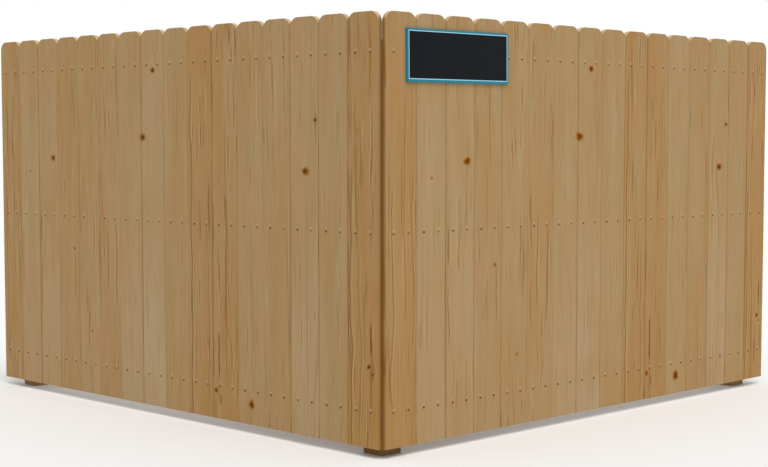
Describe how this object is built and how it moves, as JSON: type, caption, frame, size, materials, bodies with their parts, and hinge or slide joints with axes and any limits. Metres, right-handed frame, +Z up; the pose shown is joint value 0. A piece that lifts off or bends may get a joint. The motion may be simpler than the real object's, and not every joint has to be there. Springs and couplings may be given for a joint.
{
  "type": "privacy fence",
  "caption": "Right-angle corner of a board privacy fence: butted round-shouldered pickets nailed to rails on square posts, with a bare sign plate.",
  "frame": {"origin": "middle of the plan at the level of the post feet", "axes": "+X along the front run towards the corner, +Y along the side run away from the corner, +Z up; the front run faces -Y and the side run faces +X"},
  "size_m": [2.465, 2.456, 1.559],
  "materials": {
    "picket_wood": "matte",
    "rail_wood": "matte",
    "post_wood": "matte",
    "sign_paint": "satin",
    "nail_steel": "satin"
  },
  "bodies": {
    "root": {"front_picket_01": "picket_wood", "front_picket_02": "picket_wood", "front_picket_03": "picket_wood", "front_picket_04": "picket_wood", "front_picket_05": "picket_wood", "front_picket_06": "picket_wood", "front_picket_07": "picket_wood", "front_picket_08": "picket_wood", "front_picket_09": "picket_wood", "front_picket_10": "picket_wood", "front_picket_11": "picket_wood", "front_picket_12": "picket_wood", "front_picket_13": "picket_wood", "front_picket_14": "picket_wood", "front_picket_15": "picket_wood", "front_picket_16": "picket_wood", "side_picket_01": "picket_wood", "side_picket_02": "picket_wood", "side_picket_03": "picket_wood", "side_picket_04": "picket_wood", "side_picket_05": "picket_wood", "side_picket_06": "picket_wood", "side_picket_07": "picket_wood", "side_picket_08": "picket_wood", "side_picket_09": "picket_wood", "side_picket_10": "picket_wood", "side_picket_11": "picket_wood", "side_picket_12": "picket_wood", "side_picket_13": "picket_wood", "side_picket_14": "picket_wood", "side_picket_15": "picket_wood", "side_picket_16": "picket_wood", "front_rail_bottom": "rail_wood", "front_rail_middle": "rail_wood", "front_rail_top": "rail_wood", "side_rail_bottom": "rail_wood", "side_rail_middle": "rail_wood", "side_rail_top": "rail_wood", "corner_post": "post_wood", "front_end_post": "post_wood", "side_end_post": "post_wood", "sign_plate": "sign_paint"}
  },
  "joints": []
}
